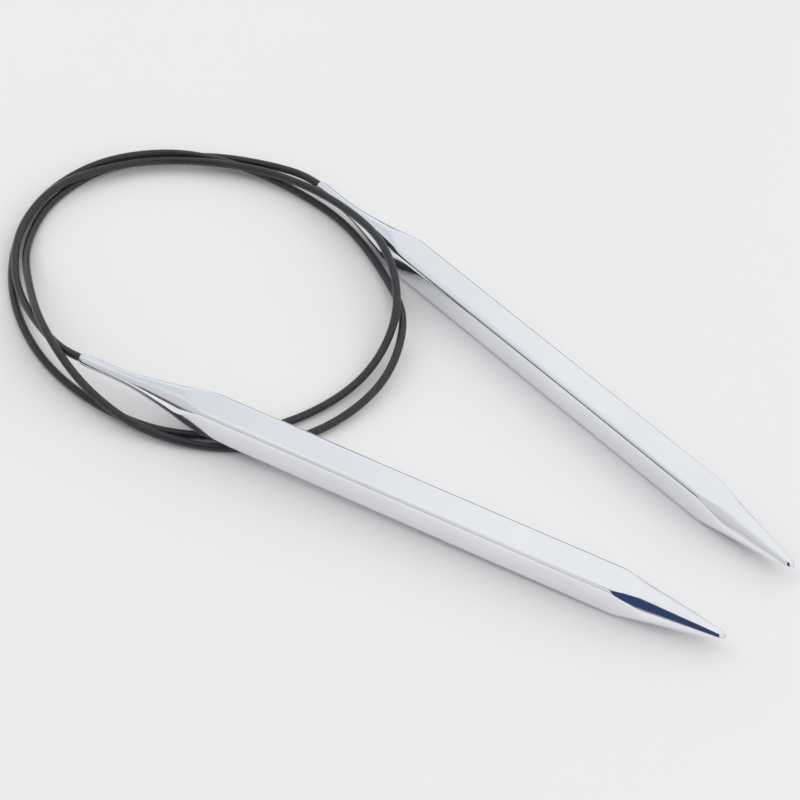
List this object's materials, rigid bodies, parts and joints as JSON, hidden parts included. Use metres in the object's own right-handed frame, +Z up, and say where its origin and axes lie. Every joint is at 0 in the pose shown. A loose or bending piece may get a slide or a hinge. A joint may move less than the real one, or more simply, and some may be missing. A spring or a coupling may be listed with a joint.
{
  "type": "circular knitting needle",
  "caption": "Circular knitting needle: slim square metal points with round tapered ends, joined by a long thin black plastic cable that lies in a loose coil.",
  "frame": {"origin": "centre of the two points' footprint, on the surface that they lie on", "axes": "+X from the coil towards the tips, along the line midway between the two points; +Z up from the surface; the coil lies on -X"},
  "size_m": [0.1589, 0.0684, 0.0082],
  "materials": {
    "point_plating": "bright mirror plating",
    "crimp_brass": "bare, assumed: hidden inside the tail",
    "cable_plastic": "smooth satin"
  },
  "bodies": {
    "back_point": {"back_point_shell": "point_plating", "back_crimp_sleeve": "crimp_brass", "cable": "cable_plastic"},
    "front_point": {"front_point_shell": "point_plating", "front_crimp_sleeve": "crimp_brass"}
  },
  "joints": [
    {"name": "front_point_swing", "type": "hinge", "parent": "back_point", "child": "front_point", "pos_m": [-0.058, -0.0015, 0], "axis": [0, 0, 1], "range_deg": [-4, 8], "stiffness_Nm_per_rad": 0.0008, "deforming": ["cable"]}
  ]
}
